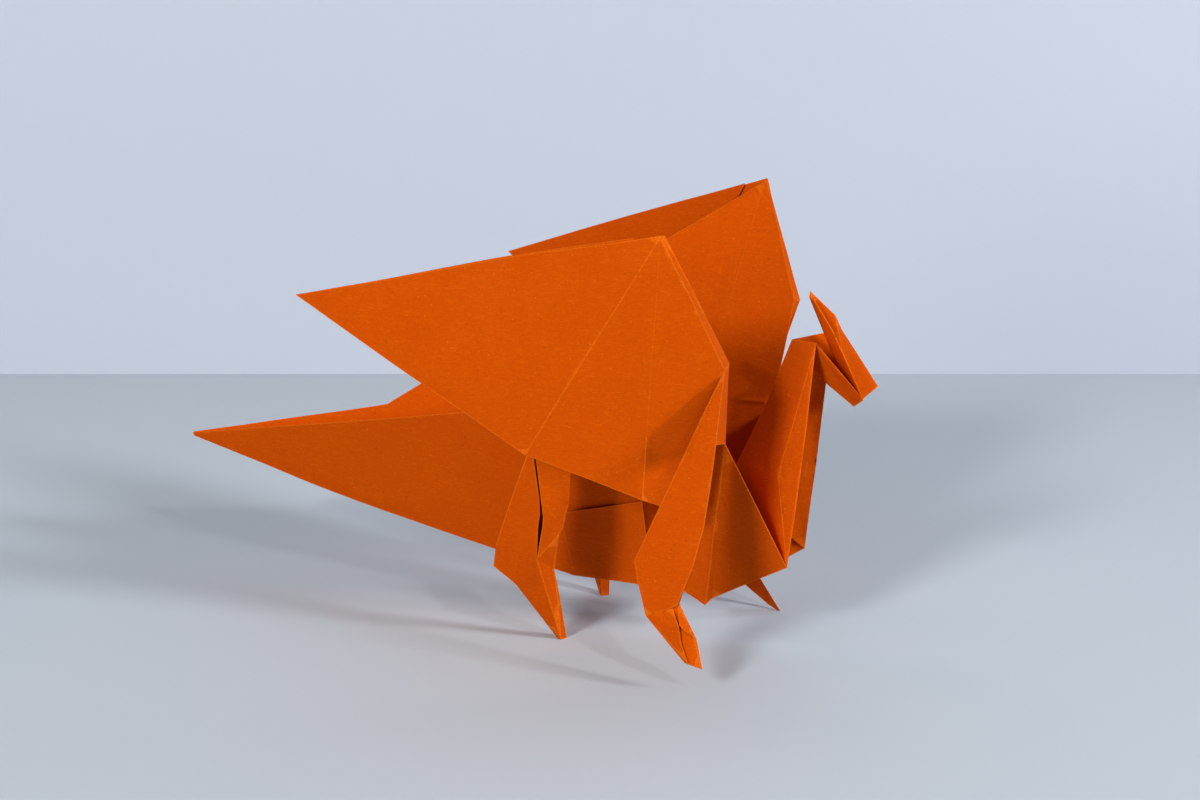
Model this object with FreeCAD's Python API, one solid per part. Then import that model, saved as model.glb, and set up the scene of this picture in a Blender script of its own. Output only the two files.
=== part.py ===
# Folded-paper dragon: one square of coloured-through orange paper, folded into
# a keeled body and tail, two standing wings, four legs and a small head.
# Frame: millimetres, +X towards the snout, +Y towards the dragon's left, +Z up,
# origin under the middle of the overall box, on the plane that it stands on.
import os
import FreeCAD
import Part

V = FreeCAD.Vector
LEFT = 1
RIGHT = -1

# --- Paper -------------------------------------------------------------------
paper = 0.22            # thickness of one layer
hem_opening = 0.9       # air between two layers of a flap, at its open edge
mitre_limit = 2.5       # longest mitre at a sharp fold, in half thicknesses
mitre_rounds = 80       # passes that settle one mitred corner
corner_grain = 1e-4     # corners nearer than this are one corner

# --- Body and tail: two walls that lean outwards from the keel fold -----------
body_lean = 0.40        # sideways spread of each wall for one millimetre of rise
keel_z = 10.7
keel_front_x = 6.0
keel_back_x = -24.0     # behind here the keel climbs into the tail
tail_root_x = -34.0
tail_root_z = 12.8
tail_tip_x = -137.0
tail_tip_z = 35.8
tail_tip_depth = 0.8    # the tail ends in a blunt edge

# --- Chest: pleats that fan out from the shoulder ------------------------------
shoulder_x = 22.2
shoulder_z = 54.8
breast_x = 11.6         # lowest ridge of the breast
breast_z = 7.7
pleat_x = 13.6          # valley next to the ridge
pleat_z = 9.9

# --- Neck and head: one V-shaped trough, reverse-folded twice -------------------
nape_x = 18.4           # foot of the neck's back fold
nape_z = 43.0
nape_mid_x = 27.0       # the back fold bends here
nape_mid_z = 61.8
neck_swell = (31.9, 7.1, 46.0)  # each side of the neck bulges out here
throat_x = 35.0
throat_z = 23.0
throat_spread = 7.7     # half the opening at the foot of the neck
crown_x = 32.8          # where the neck turns over into the jaw
crown_z = 76.6
jaw_spread = 6.5
jaw_hinge_x = 40.6
jaw_hinge_z = 78.0
chin_back_x = 41.5
chin_back_z = 67.1
chin_x = 48.0
chin_z = 62.3
snout_x = 52.0
snout_z = 65.9
snout_spread = 6.7
horn_back_x = 36.8      # end of the cracked fold along the horn
horn_back_z = 87.8

# --- Wings ----------------------------------------------------------------------
lining_lift = 0.4       # the lining's cut edge shows this far above the wing's
lining_seat = 0.15      # how far inside the wing its fold lies
lining_short = 5.8      # and stops this far short of the wing's top corner
top_fold = (0.6, -0.1)  # how far the inner wall's top corner stands ahead of and above the wing's
front_fold = (-0.5, 0.4)    # and the same for its front corner
sink_share = 0.75       # how far down from its top corner the wing's front starts to sink in

# --- Legs -------------------------------------------------------------------------
hem_inset = 0.6         # the hem's cut edge lies this far behind the leg's
toe_ridge_lift = 0.5
ledge_lean = 0.39       # the hidden ledge ends just inside the body wall
sole_sink = 0.3         # paper that is trimmed off flat under each foot
knee_z = 16.0
hip_z = 55.0
ledge_wall_x = (-8.0, -24.0)
ledge_wall_z = 58.0
# Corners of the hind leg: how far forward, how far out from the middle, how high.
hind = {
    "hip_back": (-19.6, 33.9, hip_z),
    "hip_front": (-10.4, 32.4, 53.0),
    "hip_inner": (-15.0, 30.4, 54.0),
    "back_mid": (-31.8, 28.5, 26.5),
    "knee_back": (-33.5, 27.0, 20.4),
    "knee_low": (-28.6, 25.0, 15.6),
    "knee_front": (-15.0, 28.4, 31.4),
    "knee_inner": (-23.5, 24.0, 23.0),
    "heel": (-21.3, 16.2, -sole_sink),
    "toe": (-19.0, 16.2, -sole_sink),
    "shin_ridge": (-21.1, 23.6, 14.4),
    "foot_ridge": (-19.7, 17.6, -sole_sink),
    "foot_inner": (-20.4, 15.0, -sole_sink),
    "slit_end": (-21.3, 28.0, 24.0),
    "slit_back": ((-19.3, 34.2, hip_z), (-18.6, 31.6, 41.0), (-18.9, 30.7, 36.5), (-19.6, 30.2, 33.5)),
    "slit_front": ((-18.7, 34.2, hip_z), (-18.0, 31.6, 39.0), (-18.1, 30.7, 35.9), (-18.6, 30.2, 33.2)),
    "front_edge": ((-10.7, 31.5, 48.6), (-11.9, 30.0, 40.0), (-13.8, 29.0, 33.2)),
    "shin_front": ((-18.9, 24.0, 20.3), (-19.3, 20.0, 9.8)),
    "ledge_edge": ((-18.6, 32.8, 53.6), (-12.0, 31.6, 52.6)),
}
trim = 300.0            # size of the block that trims the feet

# --- Pocket: a layer wrapped round the right-hand side of the belly ----------------
pocket_lean = 0.445
pocket_sink = 0.1
pocket_outline = (
    (-2.0, 18.5), (-0.8, 36.3), (-24.0, 29.2), (-24.0, 11.2), (7.0, 11.2), (10.9, 12.0), (9.6, 17.3))
crimp_x = (-1.5, 1.5, 5.0)      # the wall sinks into a crimp in front of the pocket
crimp_low_z = 18.5
crimp_high_z = 46.0
crimp_end = 4.0         # length of each sloping end of the crimp
crimp_depth = 5.0


class FoldedSheet:
    """Flat panels that share fold lines, thickened into one closed solid."""

    def __init__(self):
        self.corners = []
        self.triangles = []

    def corner(self, point):
        for number, known in enumerate(self.corners):
            if known.distanceToPoint(point) < corner_grain:
                return number
        self.corners.append(V(point))
        return len(self.corners) - 1

    def panel(self, *points):
        """Add a panel; its first corner sees every other corner."""
        ring = [self.corner(point) for point in points]
        for second, third in zip(ring[1:], ring[2:]):
            self.triangles.append((ring[0], second, third))

    def orient(self):
        """Turn the panels so that neighbours agree on which face is up."""
        waiting = self.triangles[1:]
        ordered = self.triangles[:1]
        for current in ordered:
            edges = set(sides(current))
            for other in list(waiting):
                if edges & set(sides(other)):
                    waiting.remove(other)
                    ordered.append(other[::-1])
                elif edges & set(sides(other[::-1])):
                    waiting.remove(other)
                    ordered.append(other)
        self.triangles = ordered

    def normal(self, triangle):
        a, b, c = (self.corners[number] for number in triangle)
        return (b - a).cross(c - a).normalize()

    def mitres(self, half):
        """The offset of each corner that keeps every panel at full thickness."""
        around = [[] for _ in self.corners]
        for triangle in self.triangles:
            for number in triangle:
                around[number].append(self.normal(triangle))
        shifts = []
        for normals in around:
            shift = V()
            for _ in range(mitre_rounds):
                for normal in normals:
                    shift += normal * (half - normal.dot(shift)) * 0.5
            if shift.Length > mitre_limit * half:
                shift = shift * (mitre_limit * half / shift.Length)
            shifts.append(shift)
        return shifts

    def solid(self, thickness):
        self.orient()
        shifts = self.mitres(thickness / 2)
        upper = [corner + shift for corner, shift in zip(self.corners, shifts)]
        lower = [corner - shift for corner, shift in zip(self.corners, shifts)]
        rings = []
        for triangle in self.triangles:
            rings.append([upper[number] for number in triangle])
            rings.append([lower[number] for number in reversed(triangle)])
        edges = [edge for triangle in self.triangles for edge in sides(triangle)]
        for start, end in edges:
            if (end, start) not in edges:
                rings.append([lower[start], lower[end], upper[end]])
                rings.append([lower[start], upper[end], upper[start]])
        faces = [Part.Face(Part.makePolygon(ring + ring[:1])) for ring in rings]
        shell = Part.makeShell(faces)
        shell.sewShape()
        solid = Part.makeSolid(shell)
        if solid.Volume < 0:
            solid.reverse()
        return solid


def sides(triangle):
    return [(triangle[i], triangle[(i + 1) % 3]) for i in range(3)]


# --- Surfaces that the corners lie on ---------------------------------------------
def keel_height(x):
    if x > keel_back_x:
        return keel_z
    if x > tail_root_x:
        return keel_z + (tail_root_z - keel_z) * (keel_back_x - x) / (keel_back_x - tail_root_x)
    return tail_root_z + (tail_tip_z - tail_root_z) * (tail_root_x - x) / (tail_root_x - tail_tip_x)


def keel(x):
    return V(x, 0, keel_height(x))


def on_wall(half, x, z, lean=body_lean):
    return V(x, half["side"] * lean * (z - keel_height(x)), z)


def wall_corner(half, name, fold):
    x, z = half[name]
    return on_wall(half, x + fold[0], z + fold[1])


def on_wing(half, x, z, inside=0.0):
    corner_x, corner_z = half["wing_front"]
    root = half["leg_spread"] + half["leg_lean"] * corner_z
    spread = root + half["wing_sweep"] * (corner_x - x) + half["wing_flare"] * (z - corner_z)
    return V(x, half["side"] * (spread - inside), z)


def on_front_leg(half, x, z, inside=0.0):
    return V(x, half["side"] * (half["leg_spread"] + half["leg_lean"] * z - inside), z)


def beside(half, x, spread, z):
    return V(x, half["side"] * spread, z)


# --- The two halves: hand folding left them a little different ------------------------
right = {
    "side": RIGHT,
    "wing_sweep": 0.209,            # sideways spread of the wing for one millimetre back
    "wing_flare": 0.194,            # and for one millimetre of rise
    "wing_back": (-69.9, 89.9),
    "wing_top": (13.8, 106.8),
    "wing_front": (26.7, 76.2),
    "wing_heel": (-20.2, 52.9),
    "wing_foot": (6.0, 42.4),
    "wing_tuck": (14.0, 18.0, 36.5),
    "haunch": (-45.3, 55.1),
    "horn_swell": (46.8, 4.5, 75.0),
    "horn_waist": (43.6, 3.2, 80.5),
    "horn_end": (38.5, 1.5, 87.3),
    "leg_spread": 39.8,             # the front leg splays: its foot is clear of the table
    "leg_lean": -0.118,             # sideways spread of the front leg for one millimetre of rise
    "leg_rim": ((26.3, 70.4), (25.5, 59.0), (24.6, 48.4), (23.6, 39.8), (21.6, 30.6)),
    "leg_fold": ((18.5, 57.1), (7.2, 30.1), (8.4, 24.9), (10.6, 17.6)),
    "ankle": ((17.0, 20.2), (18.3, 21.0)),
    "toe": ((20.8, 7.9), (24.7, 6.6), (22.8, 13.4)),
    "toe_ridge": ((19.1, 16.3), (19.9, 12.3), (21.6, 8.3)),
    "hind_foot_back": 0.0,          # how far the hind foot and knee sit behind the plan
    "hind_knee_back": 0.0,
}
left = {
    "side": LEFT,
    "wing_sweep": 0.245,
    "wing_flare": 0.205,
    "wing_back": (-66.8, 82.1),
    "wing_top": (12.6, 108.8),
    "wing_front": (24.6, 80.0),
    "wing_heel": (-19.5, 51.5),
    "wing_foot": (5.5, 42.0),
    "wing_tuck": (13.0, 18.0, 36.5),
    "haunch": (-81.7, 47.7),
    "horn_swell": (43.9, 3.2, 79.5),
    "horn_waist": (42.4, 2.2, 83.3),
    "horn_end": (36.7, 0.8, 88.9),
    "leg_spread": 23.2,
    "leg_lean": 0.10,
    "leg_rim": ((21.4, 70.1), (18.2, 57.8), (16.5, 46.3), (15.5, 36.9), (14.8, 26.8)),
    "leg_fold": ((12.7, 55.8), (1.1, 26.2), (2.6, 20.4), (6.0, 10.9)),
    "ankle": ((11.9, 14.0), (13.1, 14.8)),
    "toe": ((21.0, 0.9), (24.6, -sole_sink), (20.0, 5.6)),
    "toe_ridge": ((15.5, 9.7), (17.4, 5.6), (21.0, 1.4)),
    "hind_foot_back": 2.0,
    "hind_knee_back": 5.0,
}


def body():
    """Tail, walls, breast pleats and wings, mirrored across the keel."""
    sheet = FoldedSheet()
    breast = V(breast_x, 0, breast_z)
    pleat = V(pleat_x, 0, pleat_z)
    belly = keel(crimp_x[0])
    keel_back = keel(keel_back_x)
    keel_front = keel(keel_front_x)
    tail_root = keel(tail_root_x)
    tail_tip = keel(tail_tip_x)
    for half in (right, left):
        top = wall_corner(half, "wing_top", top_fold)
        front = wall_corner(half, "wing_front", front_fold)
        haunch = on_wall(half, *half["haunch"])
        tail_top = on_wall(half, tail_tip_x, tail_tip_z + tail_tip_depth)
        shoulder = on_wall(half, shoulder_x, shoulder_z)
        throat = beside(half, throat_x, throat_spread, throat_z)
        sheet.panel(haunch, tail_top, tail_tip, tail_root, keel_back, top)
        if half is right:
            crimp(sheet, half, (keel_back, belly, keel_front, breast, shoulder, front, top))
        else:
            sheet.panel(shoulder, front, top, keel_back, belly, keel_front, breast)
        sheet.panel(shoulder, breast, pleat)
        sheet.panel(shoulder, pleat, throat)
        wing(sheet, half, top, front)
    return [sheet.solid(paper)]


def crimp(sheet, half, border):
    """The wall round a boat-shaped crimp that sinks between the wall's layers."""
    keel_back, belly, keel_front, breast, shoulder, front, top = border
    back_low, front_low = (on_wall(half, x, crimp_low_z) for x in crimp_x[::2])
    back_high, front_high = (on_wall(half, x, crimp_high_z) for x in crimp_x[::2])
    inwards = V(0, -half["side"] * crimp_depth, 0)
    low = on_wall(half, crimp_x[1], crimp_low_z + crimp_end) + inwards
    high = on_wall(half, crimp_x[1], crimp_high_z - crimp_end) + inwards
    sheet.panel(keel_back, belly, back_low, back_high, top)
    sheet.panel(keel_front, front_low, back_low, belly)
    sheet.panel(shoulder, front_high, front_low, keel_front, breast)
    sheet.panel(top, back_high, front_high, shoulder, front)
    sheet.panel(back_low, back_high, high, low)
    sheet.panel(front_low, front_high, high, low)
    sheet.panel(back_low, front_low, low)
    sheet.panel(back_high, front_high, high)


def wing(sheet, half, top, front):
    """The sheet folds back along the wing's front edge into the outer layer."""
    outer_top = on_wing(half, *half["wing_top"])
    outer_front = on_wing(half, *half["wing_front"])
    back = on_wing(half, *half["wing_back"])
    heel = on_wing(half, *half["wing_heel"])
    foot = on_wing(half, *half["wing_foot"])
    tuck = beside(half, *half["wing_tuck"])
    sink = outer_top + (foot - outer_top) * sink_share
    sheet.panel(outer_top, top, front, outer_front)
    sheet.panel(sink, outer_front, outer_top, back, heel, foot)
    sheet.panel(tuck, outer_front, sink, foot)


def wing_lining(half):
    """The layer that folds in along the wing's rear edge, behind the outer one."""
    top_x, top_z = half["wing_top"]
    back_x, back_z = half["wing_back"]
    share = lining_short / (top_x - back_x)
    lining_z = top_z - (top_z - back_z) * share + lining_lift
    sheet = FoldedSheet()
    sheet.panel(on_wing(half, back_x + lining_seat, back_z, lining_seat),
                on_wing(half, *half["wing_heel"], lining_seat),
                on_wing(half, top_x - lining_short, lining_z, hem_opening))
    return [sheet.solid(paper)]


def neck_and_head():
    """One long trough with its fold at the back, turned over into jaw and horn."""
    sheet = FoldedSheet()
    nape = V(nape_x, 0, nape_z)
    nape_mid = V(nape_mid_x, 0, nape_mid_z)
    crown = V(crown_x, 0, crown_z)
    chin_back = V(chin_back_x, 0, chin_back_z)
    chin = V(chin_x, 0, chin_z)
    horn_back = V(horn_back_x, 0, horn_back_z)
    for half in (right, left):
        shoulder = on_wall(half, shoulder_x, shoulder_z)
        throat = beside(half, throat_x, throat_spread, throat_z)
        hinge = beside(half, jaw_hinge_x, jaw_spread, jaw_hinge_z)
        snout = beside(half, snout_x, snout_spread, snout_z)
        rim = [beside(half, *half[name]) for name in ("horn_swell", "horn_waist", "horn_end")]
        sheet.panel(shoulder, throat, nape)
        swell = beside(half, *neck_swell)
        sheet.panel(swell, throat, nape, nape_mid, crown, hinge, throat)
        sheet.panel(hinge, crown, chin_back)
        sheet.panel(hinge, chin_back, chin, snout)
        sheet.panel(chin, snout, *rim, horn_back)
    return [sheet.solid(paper)]


def front_leg(half):
    """A long flap hangs from the wing's front corner, hemmed along its back edge."""
    shoulder = on_wall(half, shoulder_x, shoulder_z)
    front = wall_corner(half, "wing_front", front_fold)
    outer_front = on_wing(half, *half["wing_front"])
    rim = [on_front_leg(half, x, z) for x, z in half["leg_rim"]]
    fold = [on_front_leg(half, x, z) for x, z in half["leg_fold"]]
    ankle = [on_front_leg(half, x, z) for x, z in half["ankle"]]
    face = FoldedSheet()
    face.panel(front, outer_front, rim[0], rim[1], shoulder)
    face.panel(fold[1], fold[0], outer_front, *rim, *reversed(ankle), fold[3], fold[2])
    hem = FoldedSheet()
    hem_rim = [on_front_leg(half, x - hem_inset, z, hem_opening) for x, z in half["leg_rim"][2:]]
    hem_ankle = on_front_leg(half, *half["ankle"][1], hem_opening)
    toe_low = on_front_leg(half, *half["toe"][0])
    toe_tip, toe_high = (on_front_leg(half, x, z, hem_opening) for x, z in half["toe"][1:])
    ridge = [on_front_leg(half, x, z, -toe_ridge_lift) for x, z in half["toe_ridge"]]
    ridge_ankle = on_front_leg(half, *half["ankle"][0], toe_ridge_lift)
    hem.panel(fold[1], fold[0], *hem_rim, hem_ankle, fold[3], fold[2])
    hem.panel(toe_low, fold[3], hem_ankle, toe_high, toe_tip)
    hem.panel(toe_high, hem_ankle, on_front_leg(half, *half["toe_ridge"][0]))
    toe = FoldedSheet()
    toe.panel(fold[3], ridge_ankle, *ridge, toe_low)
    return [face.solid(paper), hem.solid(paper), toe.solid(paper)]


def hind_leg(half):
    """A flap folded round into a slim open-fronted tube, bent at the knee."""
    def at(x, spread, z):
        foot_share = max(0.0, 1 - z / knee_z)
        knee_share = min(1.0, (hip_z - z) / (hip_z - knee_z)) - foot_share
        shift = half["hind_foot_back"] * foot_share + half["hind_knee_back"] * knee_share
        return beside(half, x - shift, spread, z)

    hip_back, hip_front, hip_inner, back_mid, knee_back, knee_low, knee_front, knee_inner = (
        at(*hind[name]) for name in ("hip_back", "hip_front", "hip_inner", "back_mid", "knee_back",
                                     "knee_low", "knee_front", "knee_inner"))
    heel, toe, shin_ridge, foot_ridge, foot_inner, slit_end = (
        at(*hind[name]) for name in ("heel", "toe", "shin_ridge", "foot_ridge", "foot_inner", "slit_end"))
    slit_back, slit_front, front_edge, shin_front, ledge_edge = (
        [at(*corner) for corner in hind[name]]
        for name in ("slit_back", "slit_front", "front_edge", "shin_front", "ledge_edge"))
    outside = FoldedSheet()
    outside.panel(back_mid, knee_back, knee_low, slit_end, *reversed(slit_back), hip_back)
    outside.panel(front_edge[1], front_edge[0], hip_front, *slit_front, slit_end, knee_front, front_edge[2])
    outside.panel(knee_low, heel, foot_ridge, shin_ridge, slit_end)
    outside.panel(shin_front[0], knee_front, slit_end, shin_ridge, foot_ridge, toe, shin_front[1])
    inside = FoldedSheet()
    inside.panel(knee_inner, hip_inner, hip_back, back_mid, knee_back, knee_low, heel, foot_inner)
    inside.panel(knee_inner, foot_inner, toe, *reversed(shin_front), knee_front)
    inside.panel(knee_inner, knee_front, *reversed(front_edge), hip_front, hip_inner)
    ledge = FoldedSheet()
    ledge.panel(*ledge_edge, *(on_wall(half, x, ledge_wall_z, ledge_lean) for x in ledge_wall_x))
    return [outside.solid(paper), inside.solid(paper), ledge.solid(paper)]


def belly_pocket():
    """A layer wrapped over the right-hand wall, open along its top and front."""
    def at(x, z):
        point = on_wall(right, x, z, pocket_lean)
        return point + V(0, pocket_sink, 0)

    sheet = FoldedSheet()
    sheet.panel(*(at(x, z) for x, z in pocket_outline))
    return sheet.solid(paper)


os.makedirs("parts", exist_ok=True)
layers = body() + neck_and_head()
for half in (right, left):
    layers += wing_lining(half) + front_leg(half) + hind_leg(half)
layers.append(belly_pocket())
dragon = layers[0].multiFuse(layers[1:])
floor_block = Part.makeBox(trim, trim, trim, V(-trim / 2, -trim / 2, -trim))
dragon = dragon.cut(floor_block).removeSplitter()
box = dragon.BoundBox
dragon.translate(V(-box.Center.x, -box.Center.y, 0))
print("valid", dragon.isValid(), "solids", len(dragon.Solids), dragon.BoundBox, "moved", box.Center)
dragon.exportStep("parts/folded_dragon.step")
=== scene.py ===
import math
import bpy
import bmesh
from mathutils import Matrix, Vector, kdtree, noise


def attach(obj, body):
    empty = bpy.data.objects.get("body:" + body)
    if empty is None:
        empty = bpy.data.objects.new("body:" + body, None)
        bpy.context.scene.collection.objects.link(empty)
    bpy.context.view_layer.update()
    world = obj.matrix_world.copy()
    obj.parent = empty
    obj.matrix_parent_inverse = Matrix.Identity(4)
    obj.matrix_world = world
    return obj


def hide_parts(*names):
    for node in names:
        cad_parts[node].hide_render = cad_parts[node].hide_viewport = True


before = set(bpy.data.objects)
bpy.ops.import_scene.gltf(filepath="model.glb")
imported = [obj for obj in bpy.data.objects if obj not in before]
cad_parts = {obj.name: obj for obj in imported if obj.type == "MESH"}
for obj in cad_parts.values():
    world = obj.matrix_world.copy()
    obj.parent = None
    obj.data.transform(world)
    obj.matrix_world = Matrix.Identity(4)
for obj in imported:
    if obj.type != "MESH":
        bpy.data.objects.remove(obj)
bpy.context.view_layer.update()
print("frame loaded")

colourA, colourB, colourOut = 6, 7, 2    # a colour Mix node's sockets, whose names others share


# Small helpers. Sizes below are in millimetres and become metres here.
def mm(value):
    return value / 1000


def inMm(metres):
    return metres * 1000


def perMetre(width):
    return 1000 / width


def place(x, y, z):
    return Vector((mm(x), mm(y), mm(z)))


def linearColor(hexCode):
    channels = [int(hexCode[start:start + 2], 16) / 255 for start in (1, 3, 5)]
    straight = [c / 12.92 if c <= 0.04045 else ((c + 0.055) / 1.055) ** 2.4 for c in channels]
    return (*straight, 1)


def addNode(tree, kind, values={}, links={}, **settings):
    node = tree.nodes.new(kind)
    for name, value in settings.items():
        setattr(node, name, value)
    for socket, value in values.items():
        node.inputs[socket].default_value = value
    for socket, source in links.items():
        tree.links.new(source, node.inputs[socket])
    return node


def newMaterial(name):
    material = bpy.data.materials.new(name)
    material.use_nodes = True
    material.node_tree.nodes.clear()
    return material


def makeActive(piece):
    bpy.ops.object.select_all(action="DESELECT")
    piece.select_set(True)
    bpy.context.view_layer.objects.active = piece


def standOff(holder, aim, turn, rise, away):
    # Stands a camera or lamp so far from the aim, facing it: so many degrees round from the
    # dragon's right side towards its head, and so many up.
    turn, rise = math.radians(turn), math.radians(rise)
    outwards = Vector((math.sin(turn) * math.cos(rise), -math.cos(turn) * math.cos(rise),
                       math.sin(rise)))
    bpy.context.scene.collection.objects.link(holder)
    holder.location = place(*aim) + outwards * mm(away)
    holder.rotation_euler = (-outwards).to_track_quat("-Z", "Y").to_euler()


# The folded sheet: the imported sheet's own panels, cleaned, creased, cut fine and bowed a little.
# Each corner keeps how far it is from the nearest pale line of wear and painted highlight, for the
# paper's colour.
foldedPaper = {
    "weld": 0.02,             # corners nearer than this are one corner
    "flat": 0.5,              # degrees under which two faces count as one panel
    "longestEdge": 3.4,       # panels are cut finer than this before they bow
    "rounds": 7,              # of cutting, at the most
    "smoothUnder": 24,        # degrees
    "wearAndHighlightFold": 20,           # degrees of fold that wear the paper and get a painted highlight
    "wearAndHighlightWidth": 0.3,         # how far the pale line of wear and painted highlight along a fold or cut edge reaches
    "wearAndHighlightStep": 0.5,          # how closely the lines of wear and painted highlight are measured
    "longEdge": 4,            # pale-line widths past which an edge between two folds is halved
    "wideFace": 0.7,          # pale-line widths past which a face between folds gets a middle corner
    "footing": 16,            # the paper is stiff and flat below this height
    "slowRipple": 0.45,       # how far it wanders out of flat over a few centimetres
    "slowPerMetre": 28,
    "quickRipple": 0.06,      # and over one
    "quickPerMetre": 90,
    "quickShift": (3, 1, 7),  # sets the quick ripples apart from the slow ones
    "rippleSeed": 4,          # the ripples fall the same way every time
    "creaseCut": 0.4,         # the share of a crease by which its cut runs on past its ends
    "creaseRise": 0.125,      # the share of it over which its ridge rises from nothing
    "creaseFade": 0.25,       # the share past its end over which the ridge dies away
    # Lines pressed into a panel and opened out again: the two ends, the side the ridge stands on,
    # its height, how wide its slopes are, how strong its pale line of wear and painted highlight is,
    # the strip from right to left that its layer lies in, and how near that layer a corner must be to
    # move with it.
    "creases": {
        "wingRear": {"ends": ((56.2, -39.6, 106.4), (22.3, -36.3, 52.9)), "out": (0.2, -1, -0.2),
                     "height": 0.30, "slope": 14, "wearAndHighlight": 0.75, "layer": (-60, -27), "deep": 16},
        "wingMiddle": {"ends": ((56.4, -39.6, 106.4), (50.6, -31.6, 58.7)), "out": (0.2, -1, -0.2),
                       "height": 0.12, "slope": 7, "wearAndHighlight": 0.5, "layer": (-60, -27), "deep": 16},
        "wingFrontHigh": {"ends": ((58.0, -38.4, 102.0), (60.3, -35.6, 90.0)), "out": (0.2, -1, -0.2),
                          "height": 0.06, "slope": 5, "wearAndHighlight": 0.3, "layer": (-60, -27), "deep": 16},
        "wingFrontLow": {"ends": ((60.3, -35.6, 90.0), (63.0, -33.0, 79.4)), "out": (0.2, -1, -0.2),
                         "height": 0.06, "slope": 5, "wearAndHighlight": 0.3, "layer": (-60, -27), "deep": 16},
        "farWing": {"ends": ((55.1, 39.5, 108.5), (46.5, 21.0, 62.0)), "out": (0, -1, 0.4),
                    "height": 0.26, "slope": 14, "wearAndHighlight": 0.45, "layer": (12, 60), "deep": 16},
        "farWingStep": {"ends": ((54.6, 17.8, 55.9), (63.4, 17.9, 56.3)), "out": (0, -0.93, 0.37),
                        "height": 0.35, "slope": 0.8, "wearAndHighlight": 0.2, "layer": (12, 60), "deep": 2},
    },
    # Where the paper has sprung out of flat: the place, how far it reaches and how far it moves.
    "bows": {
        "tailKeel": {"centre": (-44, 0, 24), "reach": (38, 30, 12), "move": (0, 0, -1.5)},
        "wingTop": {"centre": (18, -50, 98), "reach": (36, 14, 12), "move": (0, -0.4, 0.7)},
        "wingRear": {"centre": (-6, -47, 74), "reach": (34, 12, 22), "move": (0, -0.9, 0)},
        "farWingTop": {"centre": (12, 47, 90), "reach": (36, 12, 20), "move": (0, 0.8, 0.3)},
        "farWingFront": {"centre": (52, 24, 72), "reach": (22, 12, 22), "move": (0.3, 0.8, 0)},
        "neckMiddle": {"centre": (74, 7.5, 46), "reach": (6, 5, 24), "move": (0, -2.4, 0)},
        "neckFront": {"centre": (80, 7.5, 44), "reach": (4, 5, 22), "move": (0, 1.2, 0)},
    },
}


def laidOut(crease):
    # A crease with its start and length, and the ways that it runs, slopes and stands.
    start, end = (place(*spot) for spot in crease["ends"])
    along = (end - start).normalized()
    across = along.cross(Vector(crease["out"])).normalized()
    return {**crease, "start": start, "length": (end - start).length, "along": along,
            "across": across, "ridge": across.cross(along).normalized()}


creases = [laidOut(crease) for crease in foldedPaper["creases"].values()]


def fromCrease(crease, spot):
    # How far along it a spot is, as a share of its length, how far aside and how far off its layer.
    offset = spot - crease["start"]
    share = offset.dot(crease["along"]) / crease["length"]
    return share, offset.dot(crease["across"]), offset.dot(crease["ridge"])


def nearCrease(crease, spot, beyond):
    share, _, off = fromCrease(crease, spot)
    low, high = (mm(value) for value in crease["layer"])
    return low < spot.y < high and abs(off) < mm(crease["deep"]) and -beyond < share < 1 + beyond


def cutCreases(piece):
    # A crease is cut along its line, and a narrow one along both feet of its slopes too.
    for crease in creases:
        narrow = crease["slope"] < foldedPaper["longestEdge"]
        for aside in (-crease["slope"], 0, crease["slope"]) if narrow else (0,):
            bpy.ops.object.mode_set(mode="OBJECT")
            for face in piece.data.polygons:
                face.select = nearCrease(crease, face.center, foldedPaper["creaseCut"])
            bpy.ops.object.mode_set(mode="EDIT")
            bpy.ops.mesh.select_mode(type="FACE")
            bpy.ops.mesh.bisect(plane_co=crease["start"] + crease["across"] * mm(aside),
                                plane_no=crease["across"], use_fill=False)


def makeTriangles():
    bpy.ops.mesh.select_all(action="SELECT")
    bpy.ops.mesh.quads_convert_to_tris(quad_method="BEAUTY", ngon_method="BEAUTY")


def cutFiner(piece):
    # Halves every edge that is too long for the panels to bow smoothly, till none is left.
    bpy.ops.object.mode_set(mode="EDIT")
    for _ in range(foldedPaper["rounds"]):
        makeTriangles()
        bpy.ops.mesh.select_mode(type="EDGE")
        bpy.ops.mesh.select_all(action="DESELECT")
        shape = bmesh.from_edit_mesh(piece.data)
        longOnes = [edge for edge in shape.edges if edge.calc_length() > mm(foldedPaper["longestEdge"])]
        if not longOnes:
            break
        for edge in longOnes:
            edge.select = True
        bmesh.update_edit_mesh(piece.data)
        bpy.ops.mesh.subdivide(number_cuts=1)
    bpy.ops.object.mode_set(mode="OBJECT")


def foldLines(shape):
    limit = math.radians(foldedPaper["wearAndHighlightFold"])
    return [edge for edge in shape.edges if edge.is_manifold and edge.calc_face_angle_signed(0) > limit]


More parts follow.
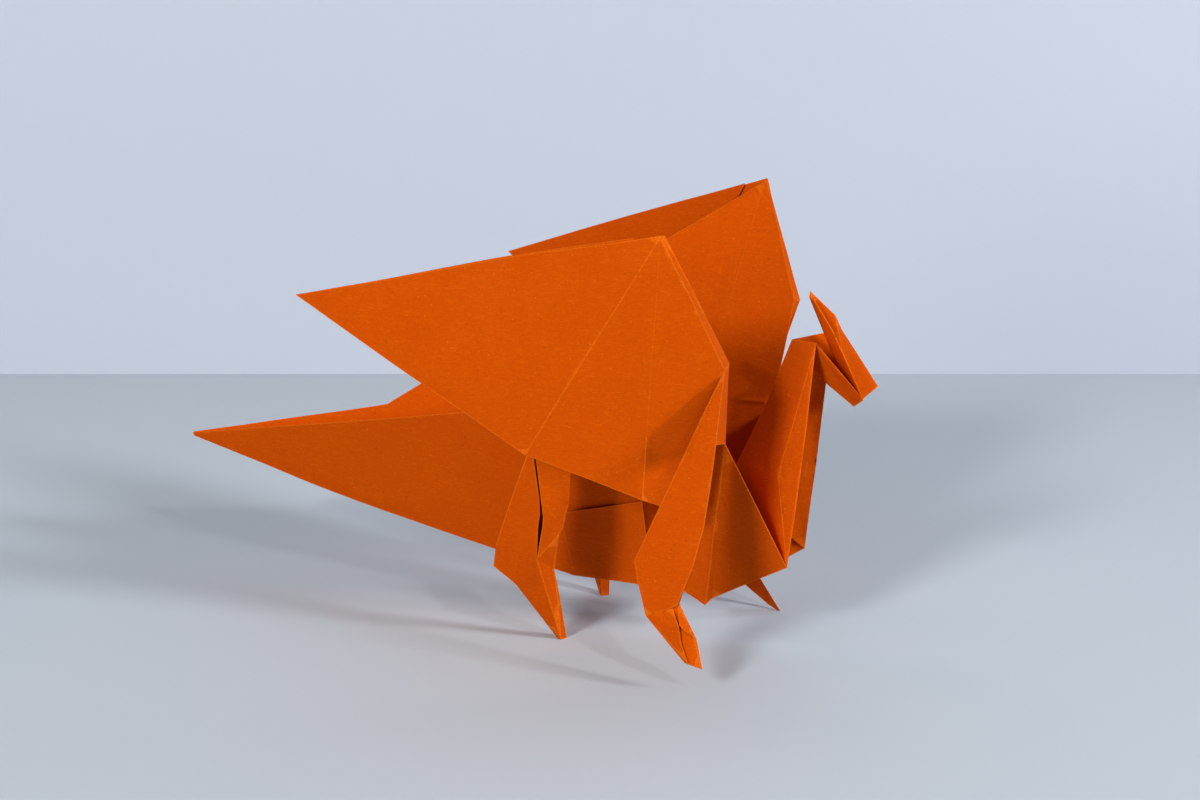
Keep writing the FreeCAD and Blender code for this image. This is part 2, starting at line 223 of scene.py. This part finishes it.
def openCorners(piece):
    # A face with all its corners on folds gets one in its middle, so that the pale line of wear and
    # painted highlight can fade inside it.
    bpy.ops.object.mode_set(mode="EDIT")
    bpy.ops.mesh.select_mode(type="EDGE")
    bpy.ops.mesh.select_all(action="DESELECT")
    shape = bmesh.from_edit_mesh(piece.data)
    folds = set(foldLines(shape))
    corners = {vertex for edge in folds for vertex in edge.verts}
    for edge in shape.edges:
        longEnough = edge.calc_length() > mm(foldedPaper["wearAndHighlightWidth"]) * foldedPaper["longEdge"]
        edge.select = edge not in folds and longEnough and corners.issuperset(edge.verts)
    bmesh.update_edit_mesh(piece.data)
    bpy.ops.mesh.subdivide(number_cuts=1)
    makeTriangles()
    bpy.ops.mesh.select_mode(type="FACE")
    bpy.ops.mesh.select_all(action="DESELECT")
    shape = bmesh.from_edit_mesh(piece.data)
    corners = {vertex for edge in foldLines(shape) for vertex in edge.verts}
    for face in shape.faces:
        width = 2 * face.calc_area() / sum(edge.calc_length() for edge in face.edges)
        wideEnough = width > mm(foldedPaper["wearAndHighlightWidth"]) * foldedPaper["wideFace"]
        face.select = wideEnough and corners.issuperset(face.verts)
    bmesh.update_edit_mesh(piece.data)
    bpy.ops.mesh.poke()
    bpy.ops.object.mode_set(mode="OBJECT")


def markWearAndHighlight(piece):
    # How far each corner is from the nearest pale line of wear and painted highlight, in millimetres.
    shape = bmesh.new()
    shape.from_mesh(piece.data)
    spots = []
    for edge in foldLines(shape):
        steps = max(1, math.ceil(edge.calc_length() / mm(foldedPaper["wearAndHighlightStep"])))
        spots += [edge.verts[0].co.lerp(edge.verts[1].co, step / steps) for step in range(steps + 1)]
    nearest = kdtree.KDTree(len(spots))
    for index, spot in enumerate(spots):
        nearest.insert(spot, index)
    nearest.balance()
    wearAndHighlightDistance = shape.verts.layers.float.new("wearAndHighlightDistance")
    for vertex in shape.verts:
        reach = inMm(nearest.find(vertex.co)[2])
        for crease in creases:
            if nearCrease(crease, vertex.co, 0):
                aside = inMm(abs(fromCrease(crease, vertex.co)[1]))
                reach = min(reach, aside + (1 - crease["wearAndHighlight"]) * foldedPaper["wearAndHighlightWidth"])
        vertex[wearAndHighlightDistance] = reach
    shape.to_mesh(piece.data)
    shape.free()


def bowedPlace(spot):
    moved = spot.copy()
    fading = foldedPaper["creaseFade"]
    for crease in creases:
        if nearCrease(crease, spot, fading):
            share, aside, _ = fromCrease(crease, spot)
            fade = min(1, max(0, share) / foldedPaper["creaseRise"])
            fade *= max(0, min(1, (1 + fading - share) / fading))
            ridge = max(0, 1 - abs(aside) / mm(crease["slope"]))
            moved += crease["ridge"] * mm(crease["height"]) * ridge * fade
    for bow in foldedPaper["bows"].values():
        gap = spot - place(*bow["centre"])
        far = sum((gap[axis] / mm(bow["reach"][axis])) ** 2 for axis in range(3))
        moved += place(*bow["move"]) * math.exp(-far)
    footing = min(1, max(0, spot.z / mm(foldedPaper["footing"])))
    slow = noise.noise_vector(spot * foldedPaper["slowPerMetre"])
    quick = noise.noise_vector(spot * foldedPaper["quickPerMetre"] + Vector(foldedPaper["quickShift"]))
    moved += slow * mm(foldedPaper["slowRipple"]) * footing
    moved += quick * mm(foldedPaper["quickRipple"]) * footing
    return moved


def foldedSheet():
    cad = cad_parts["folded_dragon"]
    piece = cad.copy()
    piece.data = cad.data.copy()
    piece.name = "foldedSheet"
    bpy.context.scene.collection.objects.link(piece)
    makeActive(piece)
    piece.data.materials.clear()
    bpy.ops.object.mode_set(mode="EDIT")
    bpy.ops.mesh.select_all(action="SELECT")
    bpy.ops.mesh.remove_doubles(threshold=mm(foldedPaper["weld"]))
    bpy.ops.mesh.select_all(action="SELECT")
    bpy.ops.mesh.dissolve_degenerate(threshold=mm(foldedPaper["weld"]))
    bpy.ops.mesh.select_all(action="SELECT")
    bpy.ops.mesh.dissolve_limited(angle_limit=math.radians(foldedPaper["flat"]))
    cutCreases(piece)
    cutFiner(piece)
    openCorners(piece)
    markWearAndHighlight(piece)
    noise.seed_set(foldedPaper["rippleSeed"])
    for vertex in piece.data.vertices:
        vertex.co = bowedPlace(vertex.co)
    piece.data.shade_smooth()
    bpy.ops.object.shade_smooth_by_angle(angle=math.radians(foldedPaper["smoothUnder"]))
    print("folded sheet", len(piece.data.polygons), "faces")
    return piece


# Dyed sugar paper, pressed between felts: the pulp is orange right through, so cut edges are too.
# It looks dry and soft, with a fine tooth, short fibres, dark pinhead specks, pale flecks of
# undyed pulp, and folds that crack a little paler, their pale line partly a painted highlight.
sugarPaper = {
    "face": "#CA4E01",
    "cloud": "#C04700",
    "roughness": 0.82,
    "gloss": 0.03,            # next to none, as the pressed fibres are open
    "cloudWidth": 11.0,       # mm
    "cloudDetail": 4,
    "fibreLength": 1.9,       # mm
    "fibreWidth": 0.38,       # mm: real fibres are nearer 0.03, drawn coarse enough to show
    "fibreDetail": 2,
    "fibreBend": 1.5,
    "toothWidth": 0.4,        # mm
    "toothDepth": 0.03,       # mm
    "toothDetail": 4,
    "toothRoughness": 0.7,
    "toothStrength": 0.5,
    "speckGap": 2.7,          # mm from one to the next in the pulp
    "fleckGap": 2.8,          # mm
    # Each mark's pattern value where it starts to show, the one where it is full, and how strongly
    # it shows there.
    "marks": {
        "fibre": {"tint": "#DE690C", "start": 0.5, "full": 0.75, "strength": 0.4},
        # painted shade in the tooth's hollows
        "hollowShade": {"tint": "#832D00", "start": 0.5, "full": 0.25, "strength": 0.35},
        "speck": {"tint": "#832D00", "start": 0.11, "full": 0.03, "strength": 0.5},
        "fleck": {"tint": "#EE8A34", "start": 0.09, "full": 0.03, "strength": 0.35},
    },
    # The pale line of wear and painted highlight is patchy: faintest where the tooth's value is at
    # start, plainest where at full.
    "wearAndHighlight": {"tint": "#E36E14", "start": 0.35, "full": 0.6, "faintest": 0.2, "plainest": 0.85},
}


def sugarPaperMaterial():
    material = newMaterial("dyedSugarPaper")
    tree = material.node_tree
    spot = addNode(tree, "ShaderNodeTexCoord").outputs["Object"]
    # Clouds where the pulp settled thicker, so that a panel doesn't look flatly printed.
    cloud = addNode(tree, "ShaderNodeTexNoise", {
        "Scale": perMetre(sugarPaper["cloudWidth"]), "Detail": sugarPaper["cloudDetail"]},
        {"Vector": spot})
    colour = addNode(tree, "ShaderNodeMix", {
        colourA: linearColor(sugarPaper["cloud"]), colourB: linearColor(sugarPaper["face"])},
        {"Factor": cloud.outputs["Fac"]}, data_type="RGBA")
    # Short fibres that mostly lie level: a faint paler streakiness, seen close to.
    level, upright = perMetre(sugarPaper["fibreLength"]), perMetre(sugarPaper["fibreWidth"])
    laid = addNode(tree, "ShaderNodeMapping", {"Scale": (level, level, upright)}, {"Vector": spot})
    fibre = addNode(tree, "ShaderNodeTexNoise", {
        "Scale": 1, "Detail": sugarPaper["fibreDetail"], "Distortion": sugarPaper["fibreBend"]},
        {"Vector": laid.outputs["Vector"]})
    # The felt's tooth, its hollows darkened with painted shade, which breaks up the light.
    tooth = addNode(tree, "ShaderNodeTexNoise", {
        "Scale": perMetre(sugarPaper["toothWidth"]), "Detail": sugarPaper["toothDetail"],
        "Roughness": sugarPaper["toothRoughness"]}, {"Vector": spot})
    # Specks of dark fibre and flecks of undyed pulp, thinly scattered.
    speck, fleck = (addNode(tree, "ShaderNodeTexVoronoi", {"Scale": perMetre(sugarPaper[gap])},
                            {"Vector": spot}) for gap in ("speckGap", "fleckGap"))
    patterns = {"fibre": fibre.outputs["Fac"], "hollowShade": tooth.outputs["Fac"],
                "speck": speck.outputs["Distance"], "fleck": fleck.outputs["Distance"]}
    for name, pattern in patterns.items():
        mark = sugarPaper["marks"][name]
        share = addNode(tree, "ShaderNodeMapRange", {
            "From Min": mark["start"], "From Max": mark["full"],
            "To Min": 0, "To Max": mark["strength"]}, {"Value": pattern})
        colour = addNode(tree, "ShaderNodeMix", {colourB: linearColor(mark["tint"])}, {
            "Factor": share.outputs["Result"], colourA: colour.outputs[colourOut]}, data_type="RGBA")
    # A thin paler line along the folds and edges: partly where the fibres crack, partly a painted
    # highlight of the rounded fold.
    wearAndHighlight = sugarPaper["wearAndHighlight"]
    away = addNode(tree, "ShaderNodeAttribute", attribute_name="wearAndHighlightDistance")
    near = addNode(tree, "ShaderNodeMapRange", {
        "From Min": 0, "From Max": foldedPaper["wearAndHighlightWidth"], "To Min": 1, "To Max": 0},
        {"Value": away.outputs["Fac"]})
    patchy = addNode(tree, "ShaderNodeMapRange", {
        "From Min": wearAndHighlight["start"], "From Max": wearAndHighlight["full"],
        "To Min": wearAndHighlight["faintest"], "To Max": wearAndHighlight["plainest"]}, {"Value": tooth.outputs["Fac"]})
    share = addNode(tree, "ShaderNodeMath", {}, {0: near.outputs["Result"], 1: patchy.outputs["Result"]},
                    operation="MULTIPLY")
    colour = addNode(tree, "ShaderNodeMix", {colourB: linearColor(wearAndHighlight["tint"])}, {
        "Factor": share.outputs["Value"], colourA: colour.outputs[colourOut]}, data_type="RGBA")
    bump = addNode(tree, "ShaderNodeBump", {
        "Strength": sugarPaper["toothStrength"], "Distance": mm(sugarPaper["toothDepth"])},
        {"Height": tooth.outputs["Fac"]})
    paper = addNode(tree, "ShaderNodeBsdfPrincipled", {
        "Roughness": sugarPaper["roughness"], "Specular IOR Level": sugarPaper["gloss"]},
        {"Base Color": colour.outputs[colourOut], "Normal": bump.outputs["Normal"]})
    addNode(tree, "ShaderNodeOutputMaterial", {}, {"Surface": paper.outputs["BSDF"]})
    return material


sheet = foldedSheet()
sheet.data.materials.append(sugarPaperMaterial())
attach(sheet, "root")
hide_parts("folded_dragon")
print("paper coloured")


# Camera: a 60 mm lens, a little above the wings, from the front right.
cameraView = {
    "turn": 22.56,            # degrees round from the dragon's right side towards its head
    "rise": 14.59,
    "distance": 496.4,
    "aim": (25.77, 0, 57.36),
    "lens": 60,
    "sensor": 36,
    "nearest": 10,            # nothing nearer than this is drawn
}


def setCamera():
    data = bpy.data.cameras.new("dragonCamera")
    data.lens = cameraView["lens"]
    data.sensor_width = cameraView["sensor"]
    data.clip_start = mm(cameraView["nearest"])
    camera = bpy.data.objects.new("dragonCamera", data)
    standOff(camera, cameraView["aim"], cameraView["turn"], cameraView["rise"], cameraView["distance"])
    bpy.context.scene.camera = camera


setCamera()
print("camera set")

# Table and wall: one bent board, the wall square to the camera and left out when seen from behind,
# so that it doesn't hide the dragon's back.
studio = {
    "table": "#BBC4CA",
    "wall": "#B9C0CB",
    "roughness": 0.7,
    "gloss": 0.1,
    "halfWidth": 1500,
    "front": -1200,
    "wallAt": 249.7,          # how far behind the dragon the wall stands
    "wallHeight": 1400,
    "tableJoin": 10,          # how far the two tones run into each other on the table
    "wallJoin": 10 / 3,       # and on the wall
}


def paintedBoard():
    # Matt wall paint rolled on board: an even tone that takes soft shadows and hardly shines.
    material = newMaterial("mattPaintedBoard")
    tree = material.node_tree
    spot = addNode(tree, "ShaderNodeTexCoord").outputs["Object"]
    parts = addNode(tree, "ShaderNodeSeparateXYZ", {}, {"Vector": spot})
    # The way back over the table and then up the wall, with the tone turning softly at the bend.
    wayBack = addNode(tree, "ShaderNodeMath", {}, {0: parts.outputs["Y"], 1: parts.outputs["Z"]},
                      operation="ADD")
    join = addNode(tree, "ShaderNodeMapRange", {
        "From Min": mm(studio["wallAt"] - studio["tableJoin"]),
        "From Max": mm(studio["wallAt"] + studio["wallJoin"]), "To Min": 0, "To Max": 1},
        {"Value": wayBack.outputs["Value"]}, interpolation_type="SMOOTHSTEP")
    tone = addNode(tree, "ShaderNodeMix", {
        colourA: linearColor(studio["table"]), colourB: linearColor(studio["wall"])},
        {"Factor": join.outputs["Result"]}, data_type="RGBA")
    paint = addNode(tree, "ShaderNodeBsdfPrincipled", {
        "Roughness": studio["roughness"], "Specular IOR Level": studio["gloss"]},
        {"Base Color": tone.outputs[colourOut]})
    clear = addNode(tree, "ShaderNodeBsdfTransparent")
    side = addNode(tree, "ShaderNodeNewGeometry")
    path = addNode(tree, "ShaderNodeLightPath")
    behind = addNode(tree, "ShaderNodeMath", {}, {
        0: side.outputs["Backfacing"], 1: path.outputs["Is Camera Ray"]}, operation="MULTIPLY")
    seen = addNode(tree, "ShaderNodeMixShader", {}, {
        0: behind.outputs["Value"], 1: paint.outputs["BSDF"], 2: clear.outputs["BSDF"]})
    addNode(tree, "ShaderNodeOutputMaterial", {}, {"Surface": seen.outputs["Shader"]})
    return material


def studioBackdrop():
    bpy.ops.object.select_all(action="DESELECT")
    bpy.ops.mesh.primitive_plane_add(size=1)
    backdrop = bpy.context.object
    backdrop.name = "studioTable"
    depth = studio["wallAt"] - studio["front"]
    bpy.ops.transform.resize(value=(2 * mm(studio["halfWidth"]), mm(depth), 1))
    bpy.ops.transform.translate(value=(0, mm(studio["wallAt"] + studio["front"]) / 2, 0))
    bpy.ops.object.transform_apply()
    bpy.ops.object.mode_set(mode="EDIT")
    bpy.ops.mesh.select_mode(type="EDGE")
    bpy.ops.mesh.select_all(action="DESELECT")
    shape = bmesh.from_edit_mesh(backdrop.data)
    for edge in shape.edges:
        edge.select = all(vertex.co.y > 0 for vertex in edge.verts)
    bmesh.update_edit_mesh(backdrop.data)
    upwards = (0, 0, mm(studio["wallHeight"]))
    bpy.ops.mesh.extrude_region_move(TRANSFORM_OT_translate={"value": upwards})
    bpy.ops.object.mode_set(mode="OBJECT")
    backdrop.rotation_euler.z = math.radians(cameraView["turn"])
    backdrop.data.materials.append(paintedBoard())


studioBackdrop()
print("table and wall placed")

# Soft lamps round the dragon, placed as the camera is, and a faint glow from the room.
studioLight = {
    "aim": (10, 0, 50),
    "roomTint": "#E4E9F6",
    "roomStrength": 0.035,
    "lamps": {
        "windowLight": {"turn": -9, "rise": 28, "away": 1500, "size": 260, "power": 13.2,
                        "tint": "#FFFFFF"},
        "sillLight": {"turn": -18, "rise": 8, "away": 1500, "size": 400, "power": 4.3,
                      "tint": "#FFF4EE"},
        "deskLight": {"turn": 85, "rise": 24, "away": 1500, "size": 240, "power": 17.6,
                      "tint": "#F8FAFF"},
        "shelfLight": {"turn": 50, "rise": 36, "away": 1500, "size": 70, "power": 3.2,
                       "tint": "#FFFFFF"},
        "ceilingLight": {"turn": -130, "rise": 60, "away": 900, "size": 500, "power": 3.0,
                         "tint": "#FFC8BA"},
    },
}


def lightStudio():
    for name, lamp in studioLight["lamps"].items():
        data = bpy.data.lights.new(name, "AREA")
        data.size = mm(lamp["size"])
        data.energy = lamp["power"]
        data.color = linearColor(lamp["tint"])[:3]
        holder = bpy.data.objects.new(name, data)
        standOff(holder, studioLight["aim"], lamp["turn"], lamp["rise"], lamp["away"])
    world = bpy.data.worlds.new("roomLight")
    bpy.context.scene.world = world
    world.use_nodes = True
    background = world.node_tree.nodes["Background"]
    background.inputs["Color"].default_value = linearColor(studioLight["roomTint"])
    background.inputs["Strength"].default_value = studioLight["roomStrength"]


lightStudio()
print("lamps set")

bpy.context.scene.view_settings.view_transform = "Standard"
